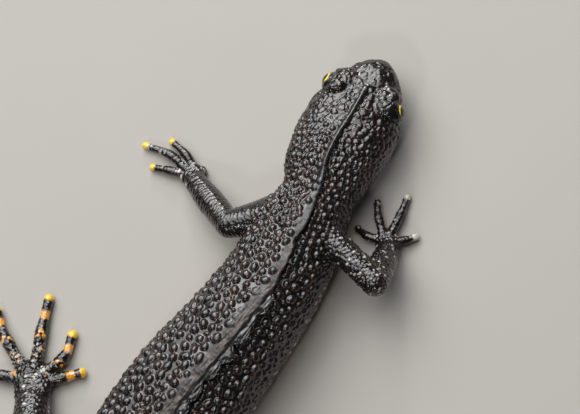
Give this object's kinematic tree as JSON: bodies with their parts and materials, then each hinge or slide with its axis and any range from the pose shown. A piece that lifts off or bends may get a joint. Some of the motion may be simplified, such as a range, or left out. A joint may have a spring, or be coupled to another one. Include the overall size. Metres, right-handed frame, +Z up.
{
  "type": "great crested newt",
  "caption": "Life-size great crested newt, adult male standing on land: warty black skin, crest folded over to one side, gold eyes.",
  "frame": {"origin": "on the floor under the middle of the whole animal's box", "axes": "+Z up from the floor, -Y the way the head faces, +X to the animal's left"},
  "size_m": [0.0578, 0.125, 0.0123],
  "materials": {
    "skin": "wet, warty, near black with white stipple and yellow toe tips",
    "crest_skin": "wet, smooth, dark grey brown",
    "vent_skin": "wet, finely wrinkled, dark",
    "eye": "wet gloss, golden iris with a dark pupil"
  },
  "bodies": {
    "root": {"head": "skin", "lower_jaw": "skin", "eye_left": "eye", "eye_right": "eye", "neck": "skin", "chest": "skin", "belly": "skin", "cloaca": "vent_skin", "tail_root": "skin", "tail_middle": "skin", "tail_end": "skin", "crest_head": "crest_skin", "crest_back": "crest_skin", "tail_fin_upper": "crest_skin", "tail_fin_lower": "crest_skin", "upper_arm_left": "skin", "forearm_left": "skin", "hand_left": "skin", "thigh_left": "skin", "shank_left": "skin", "foot_left": "skin", "upper_arm_right": "skin", "forearm_right": "skin", "hand_right": "skin", "thigh_right": "skin", "shank_right": "skin", "foot_right": "skin"}
  },
  "joints": []
}
